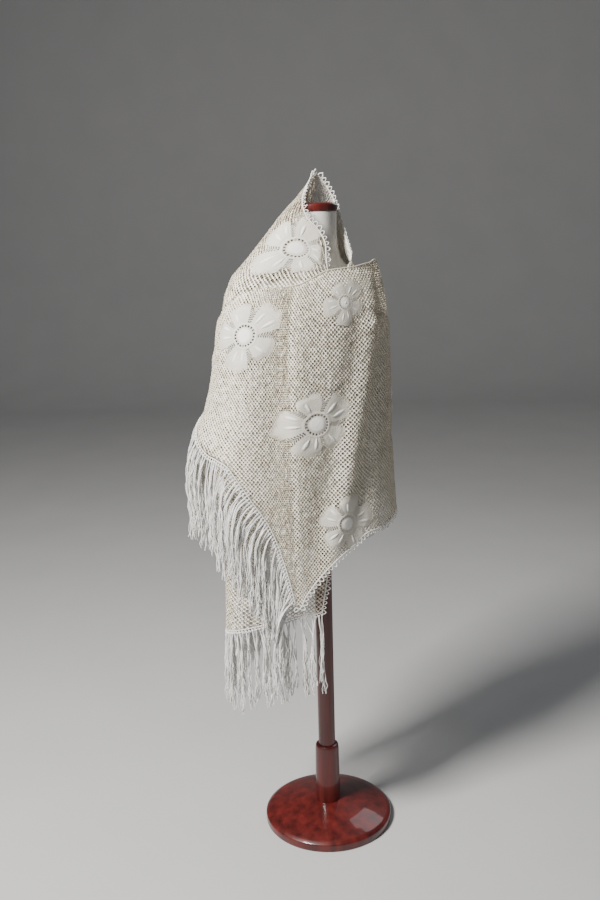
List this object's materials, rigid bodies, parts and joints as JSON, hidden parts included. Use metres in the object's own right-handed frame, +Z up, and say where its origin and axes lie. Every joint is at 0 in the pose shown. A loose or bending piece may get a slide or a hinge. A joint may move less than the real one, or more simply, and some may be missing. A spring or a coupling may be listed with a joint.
{
  "type": "lace shawl on a dress form",
  "caption": "Fringed openwork lace stole with raised flowers, crossed over a limbless padded dress form on a dark red turned wooden stand.",
  "frame": {"origin": "middle of the round base, on the floor", "axes": "+Z up along the pole; -Y is the front of the form, where the stole crosses the chest; +X is to the right as seen from the front"},
  "size_m": [0.5068, 0.3328, 1.6048],
  "materials": {
    "lace_yarn": "open net of fine off-white yarn",
    "edging_yarn": "crocheted picot loops in the same yarn",
    "flower_yarn": "closely worked smooth flowers, a little whiter than the net",
    "fringe_yarn": "fine silky white-grey strands",
    "form_satin": "smooth off-white satin cover",
    "lacquered_wood": "deep mahogany red, glossy lacquer"
  },
  "bodies": {
    "root": {"base": "lacquered_wood", "pole_socket": "lacquered_wood", "pole": "lacquered_wood", "neck_cap": "lacquered_wood", "form_torso": "form_satin", "neck_fold_left": "lace_yarn", "neck_fold_right": "lace_yarn", "left_shoulder": "lace_yarn", "hanging_end": "lace_yarn", "back": "lace_yarn", "crossing_front": "lace_yarn", "crossing_left": "lace_yarn", "crossing_end": "lace_yarn", "picots_neck_left": "edging_yarn", "picots_neck_right": "edging_yarn", "picots_crossing": "edging_yarn", "picots_back": "edging_yarn", "picots_hanging": "edging_yarn", "flower_neck": "flower_yarn", "flower_left_breast": "flower_yarn", "flower_front": "flower_yarn", "flower_front_hem": "flower_yarn", "flower_right_breast": "flower_yarn", "flower_right_side": "flower_yarn", "flower_back_right": "flower_yarn", "flower_back_left": "flower_yarn", "fringe_crossing": "fringe_yarn", "fringe_hanging": "fringe_yarn"}
  },
  "joints": []
}
